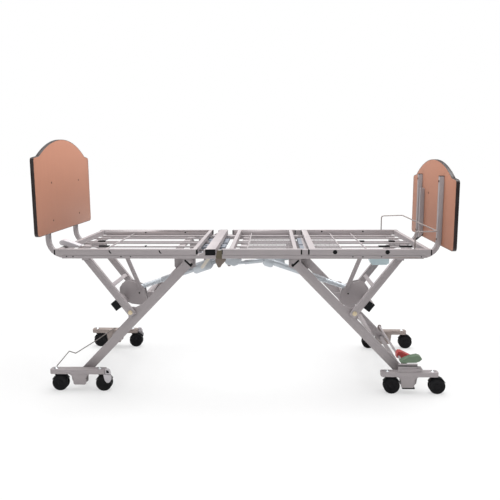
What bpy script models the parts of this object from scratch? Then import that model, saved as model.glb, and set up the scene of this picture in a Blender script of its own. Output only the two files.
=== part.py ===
"""Electric hospital bed. Metres, +Z up, head end toward -X, foot end toward +X."""
import math
import bmesh
import bpy
from mathutils import Vector

# Deck and frame
DECK_LEN = 2.032
HALF_W = 0.4445
DECK_TOP = 0.820
TUBE = 0.032
TUBE_WALL = 0.002
RAIL_Z = (DECK_TOP - 0.051, DECK_TOP - 0.033)
RAIL_OUT = HALF_W - 0.0005
RAIL_W = 0.055
RAIL_Y = (RAIL_OUT - RAIL_W, RAIL_OUT)
RAIL_END = 0.975
HEAD_SEC = (-1.016, -0.236)
SEAT_BAR = (-0.191, -0.136)
THIGH_SEC = (-0.102, 0.328)
FOOT_SEC = (0.364, 1.016)
GRILLE_Z = (DECK_TOP - 0.0295, DECK_TOP - 0.0215)
STRAP_W = 0.014
STRAP_Y = (0.030, 0.180, 0.300)
BAR_W = 0.006
CROSS_MID_X = 0.375
CROSS_END_X = 0.954
CROSS_END_Y = RAIL_Y[0] - 0.0004

# Boards
BOARD_HALF = 0.4605
BOARD_T = 0.019
HEAD_BOARD = (-1.093, 0.886, 1.313, 1.420)
FOOT_BOARD = (1.121, 0.810, 1.186, 1.291)
POST_Y = 0.235
POST = 0.0254
POST_BEND = 0.092

# Lift linkage, foot end; the head end is its mirror image
PIVOT_F = (0.8641, 0.7650)
PIVOT_M = (0.6255, 0.4520)
PIVOT_S = (0.3131, 0.7755)
PIVOT_B = (0.9065, 0.0980)
PIVOT_P = (0.6000, 0.5600)
PIVOT_Q = (0.0600, 0.7450)
LINK_TOP = (0.6740, 0.7460)
LEG_ANGLE = math.radians(46.0)
LEG_H = 0.0508
ARM_Y = (RAIL_Y[0] - 0.029, RAIL_Y[0] - 0.004)
LEG_Y = (ARM_Y[0] - 0.042, ARM_Y[0] - 0.004)
PLATE_Y = (LEG_Y[0] - 0.013, LEG_Y[0] - 0.008)
LEG_DROP = 0.0438
LEG_REACH = (-0.4275, 0.4720)
ARM_H = 0.0381
LEG_CROSS = (0.7607, 0.2490)
CENTRE_Y = (-0.050, -0.025)
ARM_TIE = (0.7280, 0.6000)
ROD_Y = -0.200
LIFT_ROD_R = 0.0140
LIFT_MOTOR = {-1: (0.125, 0.235, 0.026), 1: (0.065, 0.122, 0.020)}
CRANK_GAP = 0.0175
CRANK_T = 0.006

# Base and casters
BASE_X = (0.775, 1.091)
BASE_Y = (RAIL_Y[0] - 0.020, RAIL_Y[0] + 0.031)
BASE_Z = (0.100, 0.125)
STEM_X = (0.811, 1.062)
CASTER_Y = (BASE_Y[0] + BASE_Y[1]) / 2
WHEEL_R = 0.045
TRAIL = 0.0245

# Deck actuators
HINGE_Z = DECK_TOP - 0.0325
BACK_HINGE = (-0.2365, HINGE_Z)
THIGH_HINGE = (-0.1015, HINGE_Z)
KNEE_HINGE = (0.346, HINGE_Z)
BACK_LEVER = (-0.246, 0.672)
BACK_MOUNT = (0.035, 0.700)
BACK_Y = 0.060
THIGH_LEVER = (-0.090, 0.672)
THIGH_MOUNT = (0.302, 0.712)
THIGH_Y = -0.060
BRAKE_SHAFT = (0.905, 0.160)

MID_X = 0.00115
PIN_R = 0.0050
HINGE_PIN_R = 0.0040
RUN_GAP = 0.0003
LUG_Y = 0.270
LUG_T = 0.006
BRACKET_Y = 0.2760
ROD_R = 0.0097
PAD_X = (0.905, 0.935)

for old in list(bpy.data.objects):
    bpy.data.objects.remove(old)

scene_root = bpy.context.scene.collection
bed = bpy.data.collections.new("hospital_bed")
cutters = bpy.data.collections.new("cutters")
scene_root.children.link(bed)
scene_root.children.link(cutters)
cutters.hide_render = True

PALETTE = {
    "frame": ((0.30, 0.27, 0.28, 1.0), 0.35, 0.45),
    "laminate": ((0.50, 0.23, 0.15, 1.0), 0.0, 0.45),
    "black": ((0.012, 0.012, 0.014, 1.0), 0.0, 0.55),
    "zinc": ((0.52, 0.57, 0.62, 1.0), 0.7, 0.35),
    "pedal": ((0.17, 0.26, 0.16, 1.0), 0.0, 0.5),
    "olive": ((0.10, 0.08, 0.05, 1.0), 0.1, 0.5),
}


def material(name, kind):
    colour, metal, rough = PALETTE[kind]
    mat = bpy.data.materials.new(name)
    mat.use_nodes = True
    shader = mat.node_tree.nodes["Principled BSDF"]
    shader.inputs["Base Color"].default_value = colour
    shader.inputs["Metallic"].default_value = metal
    shader.inputs["Roughness"].default_value = rough
    return mat


def solid():
    return bmesh.new()


def box(x, y, z):
    bm = solid()
    bmesh.ops.create_cube(bm, size=1.0)
    for v in bm.verts:
        v.co.x = x[0] if v.co.x < 0 else x[1]
        v.co.y = y[0] if v.co.y < 0 else y[1]
        v.co.z = z[0] if v.co.z < 0 else z[1]
    return bm


def face_out(bm):
    bmesh.ops.recalc_face_normals(bm, faces=bm.faces)
    return bm


def prism(points, lo, hi, axis="y"):
    """Extrudes a closed outline along one axis."""
    bm = solid()
    ends = []
    for level in (lo, hi):
        ring = []
        for a, b in points:
            co = {"y": (a, level, b), "x": (level, a, b), "z": (a, b, level)}[axis]
            ring.append(bm.verts.new(co))
        ends.append(ring)
    n = len(points)
    bm.faces.new(ends[0])
    bm.faces.new(list(reversed(ends[1])))
    for i in range(n):
        j = (i + 1) % n
        bm.faces.new((ends[0][j], ends[0][i], ends[1][i], ends[1][j]))
    return face_out(bm)


def round_outline(a, b, radius, count=20):
    return [
        (a + radius * math.cos(2 * math.pi * i / count), b + radius * math.sin(2 * math.pi * i / count))
        for i in range(count)
    ]


def rod(a, b, radius, lo, hi, axis="y", count=20):
    bm = prism(round_outline(a, b, radius, count), lo, hi, axis)
    for face in bm.faces:
        if len(face.verts) == 4:
            face.smooth = True
    return bm


def lathe(profile, count=24):
    """Turns (radius, y) points about the Y axis; the first and last lie on the axis."""
    bm = solid()
    rings = []
    for radius, y in profile:
        if radius == 0:
            rings.append([bm.verts.new((0, y, 0))])
            continue
        rings.append([
            bm.verts.new((radius * math.cos(2 * math.pi * i / count), y, radius * math.sin(2 * math.pi * i / count)))
            for i in range(count)
        ])
    for low, high in zip(rings, rings[1:]):
        for i in range(count):
            j = (i + 1) % count
            if len(low) == 1:
                bm.faces.new((low[0], high[i], high[j]))
            elif len(high) == 1:
                bm.faces.new((low[i], low[j], high[0]))
            else:
                face = bm.faces.new((low[i], low[j], high[j], high[i]))
                face.smooth = abs(low[0].co.length - high[0].co.length) < 0.02
    return face_out(bm)


def sweep(path, outline, hole=None, flat=True):
    """Carries an outline, and a hole in it, along a path in one plane of constant Y or freely."""
    bm = solid()
    path = [Vector(p) for p in path]
    rings = []
    side = None
    for i, p in enumerate(path):
        back = (p - path[i - 1]).normalized() if i else None
        ahead = (path[i + 1] - p).normalized() if i + 1 < len(path) else None
        along = ((back or ahead) + (ahead or back)).normalized()
        if side is None:
            side = Vector((0, 1, 0)) if abs(along.y) < 0.9 else Vector((0, 0, 1))
        side = (side - along * side.dot(along)).normalized()
        up = along.cross(side).normalized()
        stretch = 1.0
        if back is not None and ahead is not None:
            stretch = 1.0 / max(0.5, math.sqrt((1 + back.dot(ahead)) / 2))
        bend = None
        if stretch > 1.0001:
            bend = (ahead - back).normalized()
        ring = []
        for shape in (outline, hole):
            if shape is None:
                continue
            loop = []
            for a, b in shape:
                co = side * a + up * b
                if bend is not None:
                    co += bend * (co.dot(bend) * (stretch - 1.0))
                loop.append(bm.verts.new(p + co))
            ring.append(loop)
        rings.append(ring)
    n = len(outline)
    for low, high in zip(rings, rings[1:]):
        for k in range(len(low)):
            for i in range(n):
                j = (i + 1) % n
                face = bm.faces.new((low[k][i], low[k][j], high[k][j], high[k][i]))
                face.smooth = not flat
    for ring in (rings[0], rings[-1]):
        if hole is None:
            bm.faces.new(ring[0])
            continue
        for i in range(n):
            j = (i + 1) % n
            bm.faces.new((ring[0][i], ring[0][j], ring[1][j], ring[1][i]))
    return face_out(bm)


def rect(w, h):
    return [(-w / 2, -h / 2), (w / 2, -h / 2), (w / 2, h / 2), (-w / 2, h / 2)]


def tube(start, end, w, h, wall=TUBE_WALL):
    """A straight rectangular tube, w across (Y where it can be) and h the other way, open at both ends."""
    return sweep([start, end], rect(w, h), rect(w - 2 * wall, h - 2 * wall))


def lattice(x_edges, y_edges, x_bars, y_bars, z):
    """A flat grille: cells on a bar of either direction are solid, the others are windows."""
    bm = solid()
    nx = len(x_edges) - 1
    ny = len(y_edges) - 1
    verts = {}

    def vert(i, j, k):
        key = (i, j, k)
        if key not in verts:
            verts[key] = bm.verts.new((x_edges[i], y_edges[j], z[k]))
        return verts[key]

    def full(i, j):
        if not (0 <= i < nx and 0 <= j < ny):
            return False
        return i in x_bars or j in y_bars

    for i in range(nx):
        for j in range(ny):
            if not full(i, j):
                continue
            for k in (0, 1):
                bm.faces.new((vert(i, j, k), vert(i + 1, j, k), vert(i + 1, j + 1, k), vert(i, j + 1, k)))
            if not full(i - 1, j):
                bm.faces.new((vert(i, j, 0), vert(i, j + 1, 0), vert(i, j + 1, 1), vert(i, j, 1)))
            if not full(i + 1, j):
                bm.faces.new((vert(i + 1, j, 0), vert(i + 1, j + 1, 0), vert(i + 1, j + 1, 1), vert(i + 1, j, 1)))
            if not full(i, j - 1):
                bm.faces.new((vert(i, j, 0), vert(i + 1, j, 0), vert(i + 1, j, 1), vert(i, j, 1)))
            if not full(i, j + 1):
                bm.faces.new((vert(i, j + 1, 0), vert(i + 1, j + 1, 0), vert(i + 1, j + 1, 1), vert(i, j + 1, 1)))
    return face_out(bm)


def to_object(name, bm, home, origin=(0, 0, 0)):
    bmesh.ops.translate(bm, verts=bm.verts, vec=-Vector(origin))
    mesh = bpy.data.meshes.new(name)
    bm.to_mesh(mesh)
    bm.free()
    obj = bpy.data.objects.new(name, mesh)
    obj.location = origin
    home.objects.link(obj)
    return obj


def node(name, kind, first, joined=(), cut=(), origin=(0, 0, 0)):
    """One named piece: the first solid, with others joined to it and holes cut out of it."""
    obj = to_object(name, first, bed, origin)
    obj.data.materials.append(material(name + "_paint", kind))
    for operation, parts in (("UNION", joined), ("DIFFERENCE", cut)):
        for i, part in enumerate(parts):
            tool = to_object(f"{name}_{operation.lower()}_{i}", part, cutters)
            tool.display_type = "WIRE"
            tool.hide_render = True
            mod = obj.modifiers.new(tool.name, "BOOLEAN")
            mod.object = tool
            mod.operation = operation
            mod.solver = "EXACT"
    return obj


def sides(span, side):
    """A span of Y given for the far side, for the side asked for."""
    return (span[0], span[1]) if side > 0 else (-span[1], -span[0])


def flip(points, end):
    return [(end * a, b) for a, b in points]


SIDE_NAME = {-1: "near", 1: "far"}
END_NAME = {-1: "head", 1: "foot"}


def span_x(a, b, end):
    return (a, b) if end > 0 else (-b, -a)


# The fixed frame: two flat rails under the deck, each with the track for its leg rollers,
# and the ears and pins that carry the lift arms.
for side in (-1, 1):
    mid_y = side * (RAIL_Y[0] + RAIL_Y[1]) / 2
    mid_z = (RAIL_Z[0] + RAIL_Z[1]) / 2
    parts = []
    for end in (-1, 1):
        track_x = span_x(0.026, 0.345, end)
        parts.append(box(track_x, sides((RAIL_Y[0] - 0.027, RAIL_Y[0] + 0.0005), side), (0.7852, 0.7868)))
        parts.append(box(track_x, sides((RAIL_Y[0] - 0.027, RAIL_Y[0] + 0.0005), side), (0.7640, 0.7658)))
        parts.append(box(track_x, sides((RAIL_Y[0] - 0.0022, RAIL_Y[0] + 0.0006), side), (0.7640, 0.7868)))
        if side < 0:
            ear_x = span_x(PIVOT_F[0] - 0.020, PIVOT_F[0] + 0.020, end)
            parts.append(box(ear_x, sides((RAIL_Y[0] - 0.0025, RAIL_Y[0] + 0.0005), side), (0.750, 0.785)))
            parts.append(rod(end * PIVOT_F[0], PIVOT_F[1], 0.008, *sides((LEG_Y[1] - 0.006, RAIL_Y[0] - 0.001), side)))
        pad_z = (RAIL_Z[1] - 0.0005, DECK_TOP - TUBE - RUN_GAP)
        parts.append(box(span_x(*PAD_X, end), sides((RAIL_Y[1] - 0.023, RAIL_Y[1] - 0.003), side), pad_z))
    node(
        f"rail_{SIDE_NAME[side]}", "frame",
        tube((-RAIL_END, mid_y, mid_z), (RAIL_END, mid_y, mid_z), RAIL_Y[1] - RAIL_Y[0], RAIL_Z[1] - RAIL_Z[0]),
        parts,
    )

# Cross members: one at each end over the board posts, one over each pair of leg tops with
# its bracket plates, and the middle one that carries the lift and backrest drives.
CROSS_H = RAIL_Z[1] - RAIL_Z[0] - 0.0005
LEG_CROSS_H = 0.010


def cross_tube(x, h=CROSS_H):
    z = RAIL_Z[1] - h / 2 - 0.00025
    return tube((x, -CROSS_END_Y, z), (x, CROSS_END_Y, z), h, 0.040)


for end in (-1, 1):
    blocks = [
        box(span_x(CROSS_END_X - 0.018, CROSS_END_X + 0.018, end), (s * POST_Y - 0.015, s * POST_Y + 0.015),
            (RAIL_Z[0] - 0.0047, RAIL_Z[0] + 0.0015))
        for s in (-1, 1)
    ]
    hanger = [(0.846, 0.774), (0.858, 0.7845), (0.940, 0.7850), (0.940, 0.7705), (0.892, 0.757), (0.870, 0.749),
              (0.856, 0.750), (0.847, 0.759)]
    blocks.append(prism(flip(hanger, end), CENTRE_Y[1] + 0.003, CENTRE_Y[1] + 0.008))
    blocks.append(rod(end * PIVOT_F[0], PIVOT_F[1], 0.008, CENTRE_Y[0] - 0.003, CENTRE_Y[1] + 0.0055))
    node(f"cross_{END_NAME[end]}", "frame", cross_tube(end * CROSS_END_X), blocks)
    plates = []
    for s in (-1, 1):
        outline = [(0.262, 0.760), (0.262, 0.700), (0.284, 0.690), (0.372, 0.690), (0.382, 0.702), (0.382, 0.7770),
                   (0.360, 0.7770), (0.350, 0.760)]
        plates.append(prism(flip(outline, end), *sides(PLATE_Y, s)))
    if end > 0:
        outline = [(0.358, 0.7770), (0.374, 0.7770), (0.346, 0.738), (0.312, 0.702), (0.296, 0.702), (0.290, 0.714)]
        for s in (-1, 1):
            plates.append(prism(outline, THIGH_Y + s * 0.021 - 0.0025, THIGH_Y + s * 0.021 + 0.0025))
        plates.append(rod(*THIGH_MOUNT, PIN_R, THIGH_Y - 0.0230, THIGH_Y + 0.0230, count=16))
    node(f"cross_leg_{END_NAME[end]}", "frame", cross_tube(end * CROSS_MID_X, LEG_CROSS_H), plates)

drive_ears = []
for end in (-1, 1):
    outline = [(0.004, 0.7705), (0.018, 0.7705), (0.066, 0.752), (0.070, 0.742), (0.060, 0.735), (0.040, 0.738),
               (0.004, 0.756)]
    for s in (-1, 1):
        y = ROD_Y + s * 0.0165
        drive_ears.append(prism(flip(outline, end), y - 0.0025, y + 0.0025))
outline = [(-0.010, 0.7705), (0.012, 0.7705), (0.030, 0.712), (0.044, 0.705), (0.044, 0.694), (0.027, 0.690),
           (-0.010, 0.720)]
for s in (-1, 1):
    drive_ears.append(prism(outline, BACK_Y + s * 0.021 - 0.0025, BACK_Y + s * 0.021 + 0.0025))
drive_ears.append(rod(*BACK_MOUNT, PIN_R, BACK_Y - 0.0230, BACK_Y + 0.0230, count=16))
node("cross_drive", "frame", cross_tube(0.0), drive_ears)

seat_mid = (SEAT_BAR[0] + SEAT_BAR[1]) / 2
seat_low = DECK_TOP - TUBE
seat_parts = []
for s in (-1, 1):
    seat_parts.append(box((seat_mid - 0.020, seat_mid + 0.020), sides((RAIL_Y[0] + 0.006, RAIL_Y[1] - 0.006), s),
                          (RAIL_Z[1] + RUN_GAP, seat_low + 0.001)))
    hx, hz = BACK_HINGE
    tx = THIGH_HINGE[0]
    outline = [(hx - 0.006, hz - 0.0055), (tx + 0.006, hz - 0.0055), (tx + 0.006, hz + 0.0045),
               (tx - 0.0065, hz + 0.0045), (SEAT_BAR[1], seat_low + 0.0015), (SEAT_BAR[0], seat_low + 0.0015),
               (hx + 0.0065, hz + 0.0045), (hx - 0.006, hz + 0.0045)]
    seat_parts.append(prism(outline, *sides((BRACKET_Y, BRACKET_Y + 0.003), s)))
    for x in (hx, tx):
        seat_parts.append(rod(x, hz, HINGE_PIN_R, *sides((LUG_Y - LUG_T / 2 - 0.002, BRACKET_Y + 0.0015), s),
                              count=16))
node(
    "seat_bar", "frame",
    tube((seat_mid, -HALF_W + 0.001, DECK_TOP - TUBE / 2), (seat_mid, HALF_W - 0.001, DECK_TOP - TUBE / 2),
         TUBE, SEAT_BAR[1] - SEAT_BAR[0]),
    seat_parts,
)


# Deck sections: two side tubes, two end rails and an open grille between them. Each turns on lugs at its
# end, so each has its origin on that hinge line. The foot section hangs on the thigh section.
def deck_section(name, span, rails, bars, hinge, lugs, extra=()):
    edges = []
    solid_cells = set()
    for a, b in [(rails[0][1] - 0.004, rails[0][1] + 0.001), *bars, (rails[1][0] - 0.001, rails[1][0] + 0.004)]:
        solid_cells.add(len(edges))
        edges += [a, b]
    grille_y = HALF_W - TUBE + 0.001
    y_edges = [-grille_y]
    for mid in sorted([*STRAP_Y, *(-y for y in STRAP_Y)]):
        y_edges += [mid - STRAP_W / 2, mid + STRAP_W / 2]
    y_edges.append(grille_y)
    y_cells = set(range(1, len(y_edges) - 1, 2))
    side_y = HALF_W - TUBE / 2
    side_z = DECK_TOP - TUBE / 2
    parts = [tube((span[0], side_y, side_z), (span[1], side_y, side_z), TUBE, TUBE)]
    parts += [box(r, (-grille_y - 0.0002, grille_y + 0.0002), (DECK_TOP - 0.0245, DECK_TOP - 0.0005)) for r in rails]
    parts.append(lattice(edges, y_edges, solid_cells, y_cells, GRILLE_Z))
    holes = []
    for x, toward, kind in lugs:
        low = hinge[1] - 0.0085
        back = x - toward * (0.022 if abs(x - rails[0 if toward < 0 else 1][1]) < 0.03 else 0.055)
        high = DECK_TOP - 0.023
        outline = [(back, high), (back, high - 0.006), (x - toward * 0.004, low), (x + toward * 0.005, low),
                   (x + toward * 0.008, hinge[1]), (x + toward * 0.004, high)]
        lug_y = LUG_Y
        if kind == "pinned":
            outline = [(rails[0][0] + 0.004, high), (rails[0][0] + 0.004, hinge[1] + 0.001),
                       (x + 0.0080, hinge[1] + 0.001), (x + 0.0050, hinge[1] - 0.005), (x - 0.0040, hinge[1] - 0.005),
                       (x - 0.0070, hinge[1]), (x - 0.0040, high)]
            lug_y = LUG_Y + 0.0075
        for s in (-1, 1):
            parts.append(prism(outline, s * lug_y - LUG_T / 2, s * lug_y + LUG_T / 2))
            if kind == "pinned":
                parts.append(rod(x, hinge[1], HINGE_PIN_R, *sides((LUG_Y - LUG_T / 2 - 0.002, lug_y), s), count=16))
            else:
                holes.append(rod(x, hinge[1], HINGE_PIN_R + RUN_GAP, *sides((LUG_Y - LUG_T, LUG_Y + LUG_T), s),
                                 count=16))
    parts += list(extra)
    first = tube((span[0], -side_y, side_z), (span[1], -side_y, side_z), TUBE, TUBE)
    return node(name, "frame", first, parts, holes, origin=(hinge[0], 0, hinge[1]))


def lever(hinge, pin, y, width=0.016):
    """A pair of plates from a section's end rail down to its drive pin."""
    top = DECK_TOP - 0.023
    outline = [(hinge[0] - width, top), (hinge[0] + width * 0.6, top), (pin[0] + 0.012, pin[1]),
               (pin[0] + 0.006, pin[1] - 0.011), (pin[0] - 0.006, pin[1] - 0.011), (pin[0] - 0.012, pin[1])]
    return [prism(outline, y + s * 0.021 - 0.0025, y + s * 0.021 + 0.0025) for s in (-1, 1)]


deck_section(
    "head_section", HEAD_SEC, ((-1.008, -0.986), (-0.262, -0.240)),
    [(x - BAR_W / 2, x + BAR_W / 2) for x in (-0.780,)],
    BACK_HINGE, [(BACK_HINGE[0], 1, "plain")], lever(BACK_HINGE, BACK_LEVER, BACK_Y, 0.014),
)
deck_section(
    "thigh_section", THIGH_SEC, ((-0.064, -0.041), (0.283, 0.305)),
    [(x - BAR_W / 2, x + BAR_W / 2) for x in (0.029,)],
    THIGH_HINGE, [(THIGH_HINGE[0], -1, "plain"), (KNEE_HINGE[0], 1, "plain")],
    [prism([(-0.062, DECK_TOP - 0.023), (-0.043, DECK_TOP - 0.023), (THIGH_LEVER[0] + 0.012, THIGH_LEVER[1]),
            (THIGH_LEVER[0] + 0.006, THIGH_LEVER[1] - 0.011), (THIGH_LEVER[0] - 0.006, THIGH_LEVER[1] - 0.011),
            (THIGH_LEVER[0] - 0.012, THIGH_LEVER[1])], y - 0.0025, y + 0.0025)
     for y in (THIGH_Y - 0.021, THIGH_Y + 0.021)],
)
deck_section(
    "foot_section", FOOT_SEC, ((0.368, 0.404), (0.990, 1.012)),
    [(x - BAR_W / 2, x + BAR_W / 2) for x in (0.560, 0.700)],
    KNEE_HINGE, [(KNEE_HINGE[0], -1, "pinned")],
)


# Boards with their arched tops, and the bent posts that carry them under the end cross members.
def board_outline(bottom, shoulder, peak):
    half = BOARD_HALF
    r = 0.022
    outline = []
    for cx, cz, start in ((-half + r, bottom + r, 180), (half - r, bottom + r, 270)):
        for i in range(5):
            t = math.radians(start + 22.5 * i)
            outline.append((cx + r * math.cos(t), cz + r * math.sin(t)))
    outline += [(half, shoulder - 0.016), (half - 0.006, shoulder - 0.004), (half - 0.020, shoulder)]
    count = 24
    reach = half - 0.078
    sag = peak - shoulder - 0.007
    arch_r = (reach * reach + sag * sag) / (2 * sag)
    sweep_angle = math.asin(reach / arch_r)
    for i in range(count + 1):
        t = sweep_angle * (1 - 2 * i / count)
        outline.append((arch_r * math.sin(t), peak - arch_r * (1 - math.cos(t))))
    outline += [(-half + 0.020, shoulder), (-half + 0.006, shoulder - 0.004), (-half, shoulder - 0.016)]
    return outline


def bent_post(end, x, top, inner):
    """From the top of a board post down, round the bend and in under the frame."""
    level = RAIL_Z[0] - 0.0050 - POST / 2
    path = [(x, top)]
    for i in range(7):
        t = math.radians(15 * i)
        path.append((x - end * POST_BEND * (1 - math.cos(t)), level + POST_BEND * (1 - math.sin(t))))
    path.append((inner, level))
    return path


for end, (face, bottom, shoulder, peak) in ((-1, HEAD_BOARD), (1, FOOT_BOARD)):
    back = face + end * BOARD_T
    name = END_NAME[end]
    node(f"{name}board", "laminate", prism(board_outline(bottom, shoulder, peak), *sorted((face, back)), axis="x"))
    post_x = back - POST / 2 - 0.0003 if end < 0 else face - POST / 2 - 0.0003
    for side in (-1, 1):
        path = [(x, side * POST_Y, z) for x, z in bent_post(end, post_x, shoulder - 0.100 if end < 0 else 1.199,
                                                            end * 0.925)]
        node(f"{name}board_post_{SIDE_NAME[side]}", "frame",
             sweep(path, rect(POST, POST), rect(POST - 0.004, POST - 0.004)))

# The mattress retainer wire stands on the foot section's side tubes.
WIRE = 0.0036
wire_y = HALF_W - TUBE / 2
top_z = DECK_TOP + RUN_GAP
wire_path = [
    (0.929, -wire_y, top_z), (0.929, -wire_y, top_z + 0.080), (0.933, -wire_y + 0.001, top_z + 0.089),
    (0.942, -wire_y + 0.002, top_z + 0.092), (1.030, -wire_y + 0.004, top_z + 0.0937),
    (1.042, -wire_y + 0.007, top_z + 0.0942), (1.046, -wire_y + 0.018, top_z + 0.0947),
    (1.046, wire_y - 0.018, top_z + 0.0987), (1.042, wire_y - 0.007, top_z + 0.0987),
    (1.030, wire_y - 0.004, top_z + 0.0982), (0.922, wire_y - 0.001, top_z + 0.0947), (0.912, wire_y, top_z + 0.0917),
    (0.908, wire_y, top_z + 0.0817), (0.908, wire_y, top_z),
]
node("mattress_retainer", "frame", sweep(wire_path, round_outline(0, 0, WIRE, 8), flat=False),
     origin=(KNEE_HINGE[0], 0, KNEE_HINGE[1]))

# Lift arms, legs and bases. Both ends are drawn at the foot end and mirrored for the head end.
ARM_DIR = Vector((PIVOT_F[0] - PIVOT_M[0], 0, PIVOT_F[1] - PIVOT_M[1])).normalized()
ARM_OUT = Vector((ARM_DIR.z, 0, -ARM_DIR.x))
LEG_DIR = Vector((math.cos(LEG_ANGLE), 0, -math.sin(LEG_ANGLE)))
LEG_UP = Vector((math.sin(LEG_ANGLE), 0, math.cos(LEG_ANGLE)))
LEG_MID = Vector((PIVOT_M[0], 0, PIVOT_M[1])) - LEG_UP * LEG_DROP


def mirrored(bm, end):
    if end < 0:
        for v in bm.verts:
            v.co.x = -v.co.x
        bmesh.ops.reverse_faces(bm, faces=bm.faces)
    return bm


def point(v, y):
    return (v.x, y, v.z)


def slanted_tube(a, b, y, w, h, wall):
    return sweep([point(a, y), point(b, y)], rect(w, h), rect(w - 2 * wall, h - 2 * wall))


for end in (-1, 1):
    name = END_NAME[end]
    pivot_f = Vector((PIVOT_F[0], 0, PIVOT_F[1]))
    pivot_m = Vector((PIVOT_M[0], 0, PIVOT_M[1]))
    low = pivot_m - ARM_DIR * 0.022
    high = pivot_f + ARM_DIR * 0.010
    arm_mid = (ARM_Y[0] + ARM_Y[1]) / 2
    arm_w = ARM_Y[1] - ARM_Y[0]
    centre_mid = (CENTRE_Y[0] + CENTRE_Y[1]) / 2
    joined = [slanted_tube(pivot_m, high, centre_mid, arm_w, ARM_H, 0.0025),
              rod(PIVOT_M[0], PIVOT_M[1], 0.0210, *CENTRE_Y)]
    centre = pivot_m + ARM_DIR * 0.080 + ARM_OUT * (ARM_H / 2 + 0.0185)
    half_a, half_b = ARM_DIR * 0.0254, ARM_OUT * 0.019
    outer = [centre - half_a - half_b, centre + half_a - half_b, centre + half_a + half_b, centre - half_a + half_b]
    inner = [centre + (p - centre) * 0.86 for p in outer]
    joined.append(sweep([(0, -ARM_Y[1] - 0.001, 0), (0, CENTRE_Y[1] + 0.001, 0)],
                        [(p.z, p.x) for p in outer], [(p.z, p.x) for p in inner]))
    corners = ((-0.010, -0.004), (0.006, 0.011), (0.010, 0.006), (-0.006, -0.009))
    tie = [(ARM_TIE[0] + a, ARM_TIE[1] + b) for a, b in corners]
    joined.append(prism(tie, -ARM_Y[0] - 0.0005, CENTRE_Y[0] + 0.0005))
    crank = [(0.725, 0.505), (0.724, 0.560), (0.706, 0.586), (0.672, 0.602), (0.645, 0.596), (0.600, 0.577),
             (0.588, 0.568), (0.578, 0.550), (0.570, 0.520), (0.563, 0.468), (0.598, 0.455), (0.655, 0.462),
             (0.690, 0.478)]
    joined += [prism(crank, *sorted((ROD_Y + s * CRANK_GAP, ROD_Y + s * (CRANK_GAP + CRANK_T)))) for s in (-1, 1)]
    joined.append(rod(*PIVOT_P, PIN_R, ROD_Y - CRANK_GAP - 0.0175, ROD_Y + CRANK_GAP + 0.0075, count=16))
    joined.append(rod(PIVOT_M[0], PIVOT_M[1], 0.0080, *sides((LEG_Y[1] - 0.0105, ARM_Y[1] + 0.003), -1)))
    holes = [rod(PIVOT_F[0], PIVOT_F[1], 0.0086, -0.390, 0, count=16),
             rod(PIVOT_M[0], PIVOT_M[1], 0.0158, CENTRE_Y[0] - 0.003, CENTRE_Y[1] + 0.003)]
    first = slanted_tube(low, high, -arm_mid, arm_w, ARM_H, 0.0025)
    node(f"lift_arm_{name}", "frame", mirrored(first, end), [mirrored(b, end) for b in joined],
         [mirrored(b, end) for b in holes], origin=(end * PIVOT_F[0], 0, PIVOT_F[1]))

    top = LEG_MID + LEG_DIR * LEG_REACH[0]
    foot = LEG_MID + LEG_DIR * LEG_REACH[1]
    leg_mid = (LEG_Y[0] + LEG_Y[1]) / 2
    leg_w = LEG_Y[1] - LEG_Y[0]
    gusset = [(0.645, 0.385), (0.645, 0.462), (0.636, 0.474), (0.620, 0.478), (0.600, 0.476), (0.570, 0.490),
              (0.552, 0.498), (0.540, 0.470)]
    hub = [(0.641, 0.438), (0.642, 0.460), (0.630, 0.4700), (0.614, 0.4690), (0.600, 0.4870), (0.556, 0.4870),
           (0.550, 0.480), (0.585, 0.432), (0.618, 0.4270)]
    ear = [(0.270, 0.735), (0.285, 0.725), (0.325, 0.715), (0.330, 0.740), (0.3225, 0.7790), (0.3160, 0.7845),
           (0.3090, 0.7840), (0.3040, 0.7790)]
    for side in (-1, 1):
        joined = [
            prism(gusset, *sides((LEG_Y[1] - 0.0055, LEG_Y[1]), side)),
            prism(ear, *sides((LEG_Y[1] - 0.0055, LEG_Y[1]), side)),
            rod(PIVOT_S[0], PIVOT_S[1], 0.0050, *sides((LEG_Y[1] - 0.004, RAIL_Y[0] - 0.004), side), count=16),
        ]
        holes = [rod(PIVOT_B[0], PIVOT_B[1], 0.0132, -0.400, 0.400)]
        if side < 0:
            holes.append(rod(PIVOT_M[0], PIVOT_M[1], 0.0086, -0.400, 0, count=16))
        else:
            joined.append(prism(hub, CENTRE_Y[1] + 0.003, CENTRE_Y[1] + 0.009))
            joined.append(rod(PIVOT_M[0], PIVOT_M[1], 0.0155, CENTRE_Y[0] - 0.0035, LEG_Y[1] - 0.0005))
        first = slanted_tube(top, foot, side * leg_mid, leg_w, LEG_H, 0.0025)
        node(f"leg_{name}_{SIDE_NAME[side]}", "frame", mirrored(first, end), [mirrored(b, end) for b in joined],
             [mirrored(b, end) for b in holes], origin=(end * PIVOT_M[0], 0, PIVOT_M[1]))
    ends = [(end * LEG_CROSS[0], s * (LEG_Y[0] - 0.0002), LEG_CROSS[1]) for s in (-1, 1)]
    cross = sweep(ends, round_outline(0, 0, 0.0155), round_outline(0, 0, 0.0130), flat=False)
    node(f"leg_cross_{name}", "frame", cross, origin=(end * PIVOT_M[0], 0, PIVOT_M[1]))

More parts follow.
